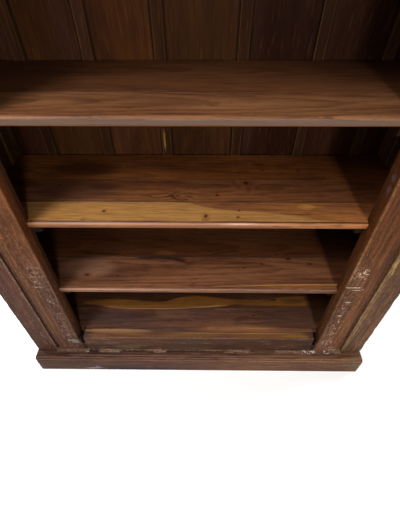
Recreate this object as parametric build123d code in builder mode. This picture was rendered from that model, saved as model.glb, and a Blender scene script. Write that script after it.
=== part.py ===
from build123d import *
import os

# Open bookcase built round an old carved doorway.
# Millimetres, +Z up, front towards -Y. The origin is on the floor, midway between
# the sides and midway between the front of the plinth and the back rails.

# ---- driving dimensions ------------------------------------------------------

# Doorway in front, from the opening outwards.
opening_width = 1000
carved_band = 58
quirk_width = 4
quirk_depth = 4
bead_band = 35
bead_rise = 3
groove_width = 15
groove_depth = 11
groove_ridge = 5
stile_width = 86.5
jamb_thickness = 34
strip_thickness = 20
worn_arris = 4
block_step = 8
block_height = 76
frieze_height = 86

# Threshold: a sill on a thin lip, with a slot beside each jamb.
lip_height = 10
lip_step = 13
slot_width = 24
slot_drop = 47
slot_reach = 60

# Plinth.
plinth_height = 94
plinth_step = 45
plinth_bevel = 9
plinth_thickness = 60
corner_block = 40

# Inside, from the back of the doorway to the rear.
interior_depth = 355
batten_thickness = 10
back_thickness = 15
back_rail_thickness = 22

# Deck and shelves. Board widths run from the front, and the last board takes the rest.
sill_height = 95
board_thickness = 25.5
first_gap = 260
shelf_gap = 289
shelf_nose = 9
seam = 1
deck_widths = [117, 125]
shelf_widths = [[158], [98, 124], [140], [165]]
board_names = ["front", "middle", "back"]

# Supports under the boards.
cleat_width = 20
cleat_height = 30
support_depth = 40
support_show = 22
bearer_width = 30
bearer_spacing = 430
ledger_depth = 40

# Sides, framed and panelled.
side_thickness = 43
side_stile = 90
bottom_rail = 120
middle_rail = 90
top_rail = 90
lower_panel_height = 701
panel_thickness = 12
panel_inset = 6
panel_groove = 10

# Back: vertical boards that share the width in these proportions, the joints covered
# by battens.
back_shares = [120, 207, 215.5, 247, 224, 207, 90.5]
batten_width = 34
back_rail_height = 60

# Top.
cornice_height = 60
cornice_lip = 14
cornice_foot = 12
cornice_hollow = 9
top_thickness = 22
top_front_width = 250

# Joints, pegs and screws.
tenon_thickness = 14
tenon_length = 40
tenon_shoulder = 15
peg_diameter = 10
peg_depth = 32
screw_diameter = 4
screw_head = 8
screw_length = 34
screw_inset = 22
fit = 0.2
play = 1
arris = 1.5

# ---- places worked out from them ---------------------------------------------

opening_half = opening_width / 2
band_edge = opening_half + carved_band
bead_edge = band_edge + quirk_width
groove_edge = bead_edge + bead_band
frame_half = groove_edge + groove_width
half_width = frame_half + stile_width
inner_half = half_width - side_thickness

frame_depth = jamb_thickness + strip_thickness
total_depth = (plinth_step + frame_depth + interior_depth + batten_thickness
               + back_thickness + back_rail_thickness)
front_y = -total_depth / 2
frame_y = front_y + plinth_step
shelf_y = frame_y + jamb_thickness
inner_y = frame_y + frame_depth
ledger_back = inner_y + ledger_depth
batten_y = inner_y + interior_depth
back_y = batten_y + batten_thickness
rear_y = back_y + back_thickness
end_y = rear_y + back_rail_thickness

sill_foot = plinth_height + lip_height
deck_level = sill_foot + sill_height
deck_underside = deck_level - board_thickness
shelf_count = len(shelf_widths)
pitch = shelf_gap + board_thickness
shelf_levels = [deck_level + first_gap + i * pitch for i in range(shelf_count)]
opening_top = shelf_levels[-1] + pitch
lintel_height = frame_half - opening_half
frieze_foot = opening_top + lintel_height
carcass_top = frieze_foot + frieze_height

slot_edge = opening_half - slot_width
slot_back = frame_y + slot_reach
slot_foot = deck_level - slot_drop
block_edge = opening_half - block_step
peg_radius = peg_diameter / 2
frame_tenon = jamb_thickness / 3

os.makedirs("parts", exist_ok=True)


# ---- helpers -----------------------------------------------------------------


# Label a piece and write it to its own file.
def save(piece, name):
    piece.part.label = name
    export_step(piece.part, f"parts/{name}.step")


# Write a right-hand piece and its mirrored left-hand twin.
def save_pair(piece, name):
    save(piece, f"{name}_right")
    with BuildPart() as twin:
        mirror(piece.part, about=Plane.YZ)
    save(twin, f"{name}_left")


# Fill a box between two limits along each axis, inside the block that is open.
def block(x, y, z, mode=Mode.ADD):
    with Locations((x[0], y[0], z[0])):
        Box(x[1] - x[0], y[1] - y[0], z[1] - z[0],
            align=(Align.MIN, Align.MIN, Align.MIN), mode=mode)


# Drill a round hole that starts at a point and runs along +Y.
def hole_along_y(x, y, z, radius, depth):
    with Locations((x, y, z)):
        Cylinder(radius, depth, rotation=(-90, 0, 0),
                 align=(Align.CENTER, Align.CENTER, Align.MIN), mode=Mode.SUBTRACT)


# A plain planed board with softened edges.
def board(x, y, z):
    with BuildPart() as piece:
        block(x, y, z)
        chamfer(piece.edges(), arris)
    return piece


# Limits of boards laid side by side: given widths, then one that fills what is left.
def spans(start, widths, end):
    edges = [start]
    for width in widths:
        edges.append(edges[-1] + width)
    edges.append(end)
    return list(zip(edges[:-1], edges[1:]))


# ---- plinth ------------------------------------------------------------------

# A heavy front beam with a bevelled upper edge, one step in front of the doorway.
with BuildPart() as plinth_front:
    block((-half_width, half_width), (front_y, frame_y), (0, plinth_height))
    top_edges = plinth_front.faces().sort_by(Axis.Z)[-1].edges().filter_by(Axis.X)
    chamfer(top_edges.sort_by(Axis.Y)[0], plinth_bevel)
save(plinth_front, "plinth_front")

# The beam under the doorway.
base_rail = board((-half_width, half_width), (frame_y, inner_y), (0, plinth_height))
save(base_rail, "base_rail")

plinth_inner = half_width - plinth_thickness
plinth_side = board((plinth_inner, half_width), (inner_y, end_y), (0, plinth_height))
save_pair(plinth_side, "plinth_side")

plinth_back_y = end_y - plinth_thickness
plinth_back = board((-plinth_inner, plinth_inner), (plinth_back_y, end_y), (0, plinth_height))
save(plinth_back, "plinth_back")

# Glue blocks in the four inner corners.
with BuildPart() as plinth_blocks:
    block_front_y = inner_y + corner_block / 2
    block_back_y = plinth_back_y - corner_block / 2
    block_x = plinth_inner - corner_block / 2
    for x in (-block_x, block_x):
        with Locations((x, block_front_y), (x, block_back_y)):
            Box(corner_block, corner_block, plinth_height,
                align=(Align.CENTER, Align.CENTER, Align.MIN))
save(plinth_blocks, "plinth_corner_blocks")

# ---- doorway -----------------------------------------------------------------

# Thin lip under the sill and the jambs.
lip = board((-frame_half, frame_half), (frame_y - lip_step, shelf_y),
            (plinth_height, sill_foot))
save(lip, "sill_lip")


# Outline of the doorway's moulding, drawn outwards from the opening along x, with
# its face at y = 0 and the wood behind it.
def moulding_outline(depth):
    bead_middle = (bead_edge + groove_edge) / 2
    ridge_middle = (groove_edge + frame_half) / 2
    ridge_half = groove_width / 8
    with BuildLine() as outline:
        Polyline(
            (bead_edge, bead_rise),
            ((band_edge + bead_edge) / 2, quirk_depth),
            (band_edge, 0),
            (opening_half + worn_arris, 0),
            (opening_half, worn_arris),
            (opening_half, depth),
            (frame_half, depth),
            (frame_half, groove_depth),
            (ridge_middle + ridge_half, groove_depth - groove_ridge),
            (ridge_middle - ridge_half, groove_depth - groove_ridge),
            (groove_edge, groove_depth),
            (groove_edge, bead_rise),
        )
        ThreePointArc((groove_edge, bead_rise), (bead_middle, 0), (bead_edge, bead_rise))
    return outline.edges()


tenon_y = (frame_y + frame_tenon, frame_y + 2 * frame_tenon)
tenon_x = (opening_half + tenon_shoulder, groove_edge - tenon_shoulder)
tenon_top = opening_top + tenon_length
sill_tenon_z = (sill_foot + tenon_shoulder, slot_foot - tenon_shoulder)
sill_tenon_x = opening_half + tenon_length
jamb_peg_x = (tenon_x[0] + tenon_x[1]) / 2
jamb_peg_z = opening_top + tenon_length / 2
sill_peg_x = (opening_half + sill_tenon_x) / 2
sill_peg_z = (sill_tenon_z[0] + sill_tenon_z[1]) / 2

# Jamb: moulded all the way up, with a base block that steps into the opening.
jamb_outline = moulding_outline(jamb_thickness)
with BuildPart() as jamb:
    with BuildSketch(Plane((0, frame_y, sill_foot))):
        make_face(jamb_outline)
    extrude(amount=opening_top - sill_foot)
    block((block_edge, bead_edge), (frame_y, shelf_y), (sill_foot, sill_foot + block_height))
    block(tenon_x, tenon_y, (opening_top, tenon_top))
    block((block_edge, sill_tenon_x + fit), (tenon_y[0] - fit, tenon_y[1] + fit),
          (sill_tenon_z[0] - fit, sill_tenon_z[1] + fit), Mode.SUBTRACT)
    hole_along_y(sill_peg_x, frame_y, sill_peg_z, peg_radius + fit, peg_depth)
    hole_along_y(jamb_peg_x, frame_y, jamb_peg_z, peg_radius + fit, peg_depth)
save_pair(jamb, "jamb")

# Sill: its ends are notched beside the jambs and tenoned into them.
with BuildPart() as sill:
    block((-block_edge, block_edge), (frame_y, shelf_y), (sill_foot, deck_level))
    for x in ((-block_edge, -slot_edge), (slot_edge, block_edge)):
        block(x, (frame_y, shelf_y), (slot_foot, deck_level), Mode.SUBTRACT)
    front_edges = sill.faces().sort_by(Axis.Y)[0].edges().filter_by(Axis.X)
    chamfer(front_edges.sort_by(Axis.Z)[-1], arris)
    block((-sill_tenon_x, sill_tenon_x), tenon_y, sill_tenon_z)
    for x in (-sill_peg_x, sill_peg_x):
        hole_along_y(x, frame_y, sill_peg_z, peg_radius + fit, peg_depth)
save(sill, "sill")

# Lintel: the same moulding laid along the top, mortised for the jambs.
lintel_outline = moulding_outline(frame_depth)
lintel_plane = Plane(origin=(frame_half, frame_y, opening_top - opening_half),
                     x_dir=(0, 0, 1), z_dir=(-1, 0, 0))
with BuildPart() as lintel:
    with BuildSketch(lintel_plane):
        make_face(lintel_outline)
    extrude(amount=2 * frame_half)
    for side in (-1, 1):
        ends = sorted((side * (tenon_x[0] - fit), side * (tenon_x[1] + fit)))
        block(ends, (tenon_y[0] - fit, tenon_y[1] + fit), (opening_top, tenon_top + fit),
              Mode.SUBTRACT)
        hole_along_y(side * jamb_peg_x, frame_y, jamb_peg_z, peg_radius + fit, peg_depth)
save(lintel, "lintel")

# Strip behind each jamb, level with its inner face.
strip = board((opening_half, frame_half), (shelf_y, inner_y), (plinth_height, opening_top))
save_pair(strip, "stop_strip")

# Plain outer stiles and the frieze between them.
with BuildPart() as outer_stile:
    block((frame_half, half_width), (frame_y, inner_y), (plinth_height, carcass_top))
    stile_edges = outer_stile.faces().sort_by(Axis.Y)[0].edges().filter_by(Axis.Z)
    fillet(stile_edges, worn_arris)
save_pair(outer_stile, "outer_stile")

frieze = board((-frame_half, frame_half), (frame_y, inner_y), (frieze_foot, carcass_top))
save(frieze, "frieze_board")

# ---- sides -------------------------------------------------------------------

side_middle = inner_half + side_thickness / 2
side_tenon_x = (side_middle - tenon_thickness / 2, side_middle + tenon_thickness / 2)
front_shoulder = inner_y + side_stile
back_shoulder = rear_y - side_stile
panel_x = (inner_half + panel_inset, inner_half + panel_inset + panel_thickness)
panel_slot_x = (panel_x[0] - fit, panel_x[1] + fit)
panel_slot_y = (front_shoulder - panel_groove, back_shoulder + panel_groove)
middle_rail_foot = plinth_height + bottom_rail + lower_panel_height
rail_spans = {
    "bottom": (plinth_height, plinth_height + bottom_rail),
    "middle": (middle_rail_foot, middle_rail_foot + middle_rail),
    "top": (carcass_top - top_rail, carcass_top),
}
panel_spans = {
    "lower": (rail_spans["bottom"][1], rail_spans["middle"][0]),
    "upper": (rail_spans["middle"][1], rail_spans["top"][0]),
}
side_peg_y = (front_shoulder - tenon_length / 2, back_shoulder + tenon_length / 2)

# Screws that hold the back rails to the side frames and to each back board.
back_scale = 2 * inner_half / sum(back_shares)
back_spans = spans(-inner_half, [share * back_scale for share in back_shares[:-1]], inner_half)
back_rail_feet = [plinth_height, middle_rail_foot, carcass_top - back_rail_height]
screw_x = [-half_width + screw_inset, half_width - screw_inset]
screw_x += [(low + high) / 2 for low, high in back_spans]
screw_z = [foot + back_rail_height / 2 for foot in back_rail_feet]
screw_places = [(x, z) for x in screw_x for z in screw_z]


# Make screws at some places, or the holes for them.
def screws(places, clearance, mode):
    for x, z in places:
        with Locations((x, end_y, z)):
            Cylinder(screw_diameter / 2 + clearance, screw_length, rotation=(90, 0, 0),
                     align=(Align.CENTER, Align.CENTER, Align.MIN), mode=mode)
            Cone(screw_head / 2 + clearance, screw_diameter / 2 + clearance, screw_head / 2,
                 rotation=(90, 0, 0), align=(Align.CENTER, Align.CENTER, Align.MIN), mode=mode)


# Cut the holes for the pegs of every rail, from the outer face inwards.
def side_peg_holes():
    for low, high in rail_spans.values():
        for y in side_peg_y:
            with Locations((half_width, y, (low + high) / 2)):
                Cylinder(peg_radius + fit, peg_depth, rotation=(0, -90, 0),
                         align=(Align.CENTER, Align.CENTER, Align.MIN), mode=Mode.SUBTRACT)


# Upright of a side frame. Its shoulder is the edge that faces the rails.
def side_upright(y, shoulder, inward):
    with BuildPart() as upright:
        block((inner_half, half_width), y, (plinth_height, carcass_top))
        chamfer(upright.edges().filter_by(Axis.Z), arris)
        for low, high in rail_spans.values():
            mortise_y = sorted((shoulder, shoulder - inward * (tenon_length + fit)))
            block((side_tenon_x[0] - fit, side_tenon_x[1] + fit), mortise_y,
                  (low + tenon_shoulder - fit, high - tenon_shoulder + fit), Mode.SUBTRACT)
        for low, high in panel_spans.values():
            groove_y = sorted((shoulder, shoulder - inward * panel_groove))
            block(panel_slot_x, groove_y, (low - panel_groove, high + panel_groove),
                  Mode.SUBTRACT)
        side_peg_holes()
        screws([place for place in screw_places if place[0] > inner_half], fit, Mode.SUBTRACT)
    return upright


front_upright = side_upright((inner_y, front_shoulder), front_shoulder, 1)
save_pair(front_upright, "side_front_stile")
back_upright = side_upright((back_shoulder, rear_y), back_shoulder, -1)
save_pair(back_upright, "side_back_stile")

for name, (low, high) in rail_spans.items():
    with BuildPart() as rail:
        block((inner_half, half_width), (front_shoulder, back_shoulder), (low, high))
        chamfer(rail.edges().filter_by(Axis.Y), arris)
        block(side_tenon_x, (front_shoulder - tenon_length, back_shoulder + tenon_length),
              (low + tenon_shoulder, high - tenon_shoulder))
        for panel_low, panel_high in panel_spans.values():
            block(panel_slot_x, panel_slot_y,
                  (panel_low - panel_groove, panel_high + panel_groove), Mode.SUBTRACT)
        side_peg_holes()
    save_pair(rail, f"side_{name}_rail")

# Panels float in the grooves with a little play at each edge.
for name, (low, high) in panel_spans.items():
    panel = board(panel_x, (panel_slot_y[0] + play, panel_slot_y[1] - play),
                  (low - panel_groove, high + panel_groove - play))
    save_pair(panel, f"side_{name}_panel")

# Pegs through the tenons of the doorway and of the side frames, flush with the outer
# faces.
with BuildPart() as tenon_pegs:
    for side in (-1, 1):
        with Locations((side * sill_peg_x, frame_y, sill_peg_z),
                       (side * jamb_peg_x, frame_y, jamb_peg_z)):
            Cylinder(peg_radius, peg_depth, rotation=(-90, 0, 0),
                     align=(Align.CENTER, Align.CENTER, Align.MIN))
        for low, high in rail_spans.values():
            for y in side_peg_y:
                with Locations((side * (half_width - peg_depth / 2), y, (low + high) / 2)):
                    Cylinder(peg_radius, peg_depth, rotation=(0, 90, 0))
save(tenon_pegs, "tenon_pegs")

# ---- deck and shelves --------------------------------------------------------


# Board of the deck or of a shelf. One that reaches the doorway is cut back round it.
def shelf_board(y, foot, throat, throat_back, nose):
    head = foot + board_thickness
    with BuildPart() as piece:
        block((-inner_half + play, inner_half - play), y, (foot, head))
        top_edges = piece.faces().sort_by(Axis.Z)[-1].edges().filter_by(Axis.X)
        chamfer(top_edges.sort_by(Axis.Y)[-1:] if nose else top_edges, seam)
        if y[0] < throat_back:
            for ends in ((-inner_half, -throat), (throat, inner_half)):
                block(ends, (y[0], throat_back), (foot, head), Mode.SUBTRACT)
        if nose:
            fillet(piece.edges().filter_by(Axis.X).group_by(Axis.Y)[0], nose)
    return piece


for name, y in zip(board_names, spans(shelf_y, deck_widths, batten_y)):
    deck_board = shelf_board(y, deck_underside, slot_edge, slot_back, 0)
    save(deck_board, f"deck_{name}_board")

for number, (level, widths) in enumerate(zip(shelf_levels, shelf_widths), start=1):
    names = board_names if len(widths) > 1 else [board_names[0], board_names[-1]]
    for name, y in zip(names, spans(shelf_y, widths, batten_y)):
        nose = shelf_nose if name == "front" else 0
        shelf = shelf_board(y, level, opening_half - play, inner_y, nose)
        save(shelf, f"shelf_{number}_{name}_board")

# Ledger under the deck, behind the base rail and resting on the sides of the plinth.
ledger = board((-inner_half, inner_half), (inner_y, ledger_back),
               (plinth_height, deck_underside))
save(ledger, "deck_ledger")

# Bearers under the deck, from the ledger to the back of the plinth.
with BuildPart() as bearers:
    for x in (-bearer_spacing, 0, bearer_spacing):
        block((x - bearer_width / 2, x + bearer_width / 2), (ledger_back, batten_y),
              (plinth_height, deck_underside))
save(bearers, "deck_bearers")

# Cleats along the sides, under each shelf and, behind the ledger, under the deck.
cleat_starts = [(deck_underside, ledger_back)] + [(foot, inner_y) for foot in shelf_levels]
with BuildPart() as cleats:
    for foot, start in cleat_starts:
        for x in ((-inner_half, cleat_width - inner_half), (inner_half - cleat_width, inner_half)):
            block(x, (start, batten_y), (foot - cleat_height, foot))
save(cleats, "shelf_cleats")

# Blocks behind the jambs that carry the front corners of the shelves. Their inner
# ends show past the jambs.
support_end = opening_half - support_show
support_root = inner_half - cleat_width
with BuildPart() as supports:
    for foot in shelf_levels:
        for x in ((-support_root, -support_end), (support_end, support_root)):
            block(x, (inner_y, inner_y + support_depth), (foot - cleat_height, foot))
save(supports, "shelf_corner_blocks")

# ---- back --------------------------------------------------------------------

for number, (low, high) in enumerate(back_spans, start=1):
    with BuildPart() as back_board:
        block((low, high), (back_y, rear_y), (plinth_height, carcass_top))
        chamfer(back_board.edges().filter_by(Axis.Z), arris)
        screws([place for place in screw_places if low < place[0] < high], fit, Mode.SUBTRACT)
    save(back_board, f"back_board_{number}")

# Battens that cover the joints between the back boards, on the inside.
with BuildPart() as battens:
    for joint, _ in back_spans[1:]:
        block((joint - batten_width / 2, joint + batten_width / 2), (batten_y, back_y),
              (plinth_height, carcass_top))
    chamfer(battens.edges().filter_by(Axis.Z).group_by(Axis.Y)[0], arris)
save(battens, "cover_battens")

# Rails across the outside of the back.
with BuildPart() as back_rails:
    for foot in back_rail_feet:
        block((-half_width, half_width), (rear_y, end_y), (foot, foot + back_rail_height))
    chamfer(back_rails.edges().filter_by(Axis.X).group_by(Axis.Y)[-1], arris)
    screws(screw_places, fit, Mode.SUBTRACT)
save(back_rails, "back_rails")

with BuildPart() as back_screws:
    screws(screw_places, 0, Mode.ADD)
save(back_screws, "back_screws")

# ---- top ---------------------------------------------------------------------

# Hollow cornice across the front, under the top boards.
cornice_foot_z = carcass_top - cornice_height
with BuildPart() as cornice:
    with BuildSketch(Plane.YZ):
        with BuildLine():
            Polyline(
                (front_y, carcass_top - cornice_lip),
                (front_y, carcass_top),
                (frame_y, carcass_top),
                (frame_y, cornice_foot_z),
                (frame_y - cornice_foot, cornice_foot_z),
            )
            SagittaArc((frame_y - cornice_foot, cornice_foot_z),
                       (front_y, carcass_top - cornice_lip), cornice_hollow)
        make_face()
    extrude(amount=half_width, both=True)
save(cornice, "cornice")

top_spans = spans(front_y, [top_front_width], end_y)
for name, y in zip(("front", "back"), top_spans):
    top_board = board((-half_width, half_width), y, (carcass_top, carcass_top + top_thickness))
    save(top_board, f"top_{name}_board")
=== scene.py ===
import math
import random

import bmesh
import bpy
from mathutils import Matrix, Vector, noise


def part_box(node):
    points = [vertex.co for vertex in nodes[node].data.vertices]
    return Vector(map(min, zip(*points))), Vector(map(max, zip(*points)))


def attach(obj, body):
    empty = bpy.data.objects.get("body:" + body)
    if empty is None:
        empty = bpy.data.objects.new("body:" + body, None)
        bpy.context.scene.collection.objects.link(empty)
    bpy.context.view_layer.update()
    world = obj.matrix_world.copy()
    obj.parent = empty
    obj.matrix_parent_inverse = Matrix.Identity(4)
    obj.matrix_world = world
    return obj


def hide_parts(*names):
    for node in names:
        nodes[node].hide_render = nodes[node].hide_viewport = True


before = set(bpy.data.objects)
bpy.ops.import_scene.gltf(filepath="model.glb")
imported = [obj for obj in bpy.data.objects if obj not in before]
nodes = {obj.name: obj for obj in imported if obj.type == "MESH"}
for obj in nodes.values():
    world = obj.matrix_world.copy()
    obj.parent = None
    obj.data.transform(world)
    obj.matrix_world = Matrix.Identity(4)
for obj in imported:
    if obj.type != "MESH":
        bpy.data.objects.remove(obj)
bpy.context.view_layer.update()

# Looks for an open bookcase that is built round an old carved doorway.
# Metres, with the floor at z = 0 and the front towards -Y.

mm = 0.001


# ---- shader helpers


# A linear colour from the red, green and blue of a swatch, each from 0 to 255.
def tone(red, green, blue):
    parts = []
    for value in (red, green, blue):
        share = value / 255
        parts.append(share / 12.92 if share <= 0.04045 else ((share + 0.055) / 1.055) ** 2.4)
    return (*parts, 1)


# One output of a shader node. Arithmetic on it adds Math nodes.
class Signal:
    def __init__(self, finish, socket):
        self.finish = finish
        self.socket = socket

    def combine(self, operation, first, second):
        return self.finish.node("Math", {"operation": operation}, {0: first, 1: second})

    def __add__(self, other):
        return self.combine("ADD", self, other)

    __radd__ = __add__

    def __sub__(self, other):
        return self.combine("SUBTRACT", self, other)

    def __rsub__(self, other):
        return self.combine("SUBTRACT", other, self)

    def __mul__(self, other):
        return self.combine("MULTIPLY", self, other)

    __rmul__ = __mul__

    def __truediv__(self, other):
        return self.combine("DIVIDE", self, other)

    def __pow__(self, other):
        return self.combine("POWER", self, other)

    def least(self, other):
        return self.combine("MINIMUM", self, other)

    def most(self, other):
        return self.combine("MAXIMUM", self, other)

    def size(self):
        return self.combine("ABSOLUTE", self, 0)


# A node tree, where one method adds every node.
class Nodes:
    def __init__(self, tree):
        self.tree = tree

    def node(self, kind, settings=None, sockets=None, output=0):
        made = self.tree.nodes.new("ShaderNode" + kind)
        for key, value in (settings or {}).items():
            if key == "stops":
                self.fillRamp(made.color_ramp, value)
            else:
                setattr(made, key, value)
        for key, value in (sockets or {}).items():
            if isinstance(value, Signal):
                self.tree.links.new(value.socket, made.inputs[key])
            else:
                made.inputs[key].default_value = value
        return Signal(self, made.outputs[output])

    def fillRamp(self, ramp, stops):
        ramp.interpolation = "CARDINAL"
        while len(ramp.elements) < len(stops):
            ramp.elements.new(0.5)
        for element, (place, level) in zip(ramp.elements, stops):
            element.position = place
            element.color = (level, level, level, 1)

    # 1 for the rays that see the background.
    def seeing(self):
        rays = self.node("LightPath").socket.node.outputs
        camera, glossy, through = [Signal(self, rays[f"Is {kind} Ray"])
                                   for kind in ("Camera", "Glossy", "Transmission")]
        return camera.most(glossy).most(through)

    # Give the tree's output its shader.
    def show(self, shader, output):
        self.tree.links.new(shader.socket, self.tree.nodes[output].inputs["Surface"])


# A material in the making, with wood coordinates. The axes name what runs along the
# grain, across the board and through it.
class Finish(Nodes):
    def __init__(self, name, axes="zxy"):
        self.material = bpy.data.materials.new(name)
        self.material.use_nodes = True
        super().__init__(self.material.node_tree)
        self.shader = self.tree.nodes["Principled BSDF"]
        chance = random.Random(name)
        self.shift = [chance.uniform(-40, 40) for _ in range(3)]
        self.place = self.node("TexCoord", output=3)
        self.xyz = self.parts(self.place)
        self.along, self.across, self.through = [self.xyz["xyz".index(a)] for a in axes]
        self.grain = self.node("CombineXYZ", None,
                               {0: self.along, 1: self.across, 2: self.through})
        self.face = self.node("CombineXYZ", None, {0: self.along, 1: self.across})

    def parts(self, vector):
        split = self.node("SeparateXYZ", None, {0: vector}).socket.node
        return [Signal(self, output) for output in split.outputs]

    # Mix two colours.
    def mix(self, share, first, second, blend="MIX"):
        return self.node("Mix", {"data_type": "RGBA", "blend_type": blend},
                         {0: share, 6: first, 7: second}, output=2)

    # Lay a colour over the finish, by a share.
    def paint(self, share, shade):
        self.colour = self.mix(share, self.colour, shade)

    # From 0 at one value to 1 at another, with soft ends.
    def ease(self, value, start, end):
        return self.node("MapRange", {"interpolation_type": "SMOOTHSTEP"},
                         {"Value": value, "From Min": start, "From Max": end})

    # 1 between two values, with soft ends inside them.
    def within(self, value, start, end, soft):
        return self.ease(value, start, start + soft) * self.ease(value, end, end - soft)

    # The same as ease, for how far a point is along an axis.
    def past(self, axis, start, end):
        return self.ease(self.xyz["xyz".index(axis)], start, end)

    # Noise stretched along the grain: features per metre along it and across it.
    def fibre(self, along, across, detail=2, roughness=0.5, turn=0):
        shift = [value + turn for value in self.shift]
        stretched = self.node("VectorMath", {"operation": "MULTIPLY_ADD"},
                              {0: self.grain, 1: (along, across, across), 2: shift})
        return self.node("TexNoise", None, {"Vector": stretched, "Scale": 1,
                                            "Detail": detail, "Roughness": roughness})

    # Noise that is the same in every direction.
    def grit(self, scale, detail=3, roughness=0.5, output=0):
        return self.node("TexNoise", None, {"Vector": self.place, "Scale": scale,
                                            "Detail": detail, "Roughness": roughness}, output)

    # How far a point is from the middle of an ellipse on the face, where 1 is its rim.
    def ellipse(self, face, x, y, wide, high):
        moved = self.node("VectorMath", {"operation": "SUBTRACT"},
                          {0: face, 1: (x * mm, y * mm, 0)})
        scaled = self.node("VectorMath", {"operation": "MULTIPLY"},
                           {0: moved, 1: (1000 / wide, 1000 / high, 0)})
        return self.node("VectorMath", {"operation": "LENGTH"}, {0: scaled}, output=1)

    # Height of a drawn line at each place along the grain.
    def line(self, along, points):
        start, end = points[0][0] * mm, points[-1][0] * mm
        heights = [y for _, y in points]
        low, high = min(heights), max(heights) + 1e-6
        share = self.node("MapRange", None, {"Value": along, "From Min": start,
                                             "From Max": end})
        stops = [((x * mm - start) / (end - start), (y - low) / (high - low))
                 for x, y in points]
        level = self.node("ValToRGB", {"stops": stops}, {0: share})
        return level * ((high - low) * mm) + low * mm

    # A share at each place along the grain.
    def shares(self, points):
        return self.line(self.along, [(x, share * 1000) for x, share in points])

    # Multiply the colour by one tint or another, by how far a value has gone.
    def tinted(self, share, first, second=(1, 1, 1)):
        shade = self.mix(share, (*first, 1), (*second, 1))
        self.colour = self.mix(1, self.colour, shade, "MULTIPLY")

    # Distance to the nearest edge of a box, for a point on its faces.
    def edgeGap(self, low, high):
        gaps = [(value - near).least(far - value)
                for value, near, far in zip(self.xyz, low, high)]
        return gaps[0].least(gaps[1]).most(gaps[0].most(gaps[1]).least(gaps[2]))


# ---- wood


plainTeak = {
    "axes": "zxy",
    "light": tone(122, 76, 48), "dark": tone(82, 47, 29), "late": tone(44, 23, 13),
    "patch": tone(84, 54, 44), "patchShare": 0.45,
    "ring": 9, "pith": (40, 90), "tilt": 0.03, "wander": 30, "ringShare": 0.4,
    "streakShare": 0.42, "threadShare": 0.36, "mottleShare": 0.3, "fineShare": 0.3,
    "sap": tone(168, 120, 66), "sapDark": tone(132, 88, 48), "sapBands": [],
    "knots": [], "eyes": [], "outlines": [], "blots": [], "veins": [], "lines": [], "nose": [],
    "dust": 0, "dustTone": tone(146, 120, 98),
    "edgeTone": tone(138, 100, 74), "edgeShare": 0, "edgeWidth": 7,
    "rough": 0.5, "gloss": 0.14, "bump": 0.35, "depth": 0.7,
}


# A CAD node's own box, in plain numbers.
def boxOf(name):
    low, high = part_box(name)
    return tuple(low), tuple(high)


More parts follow.
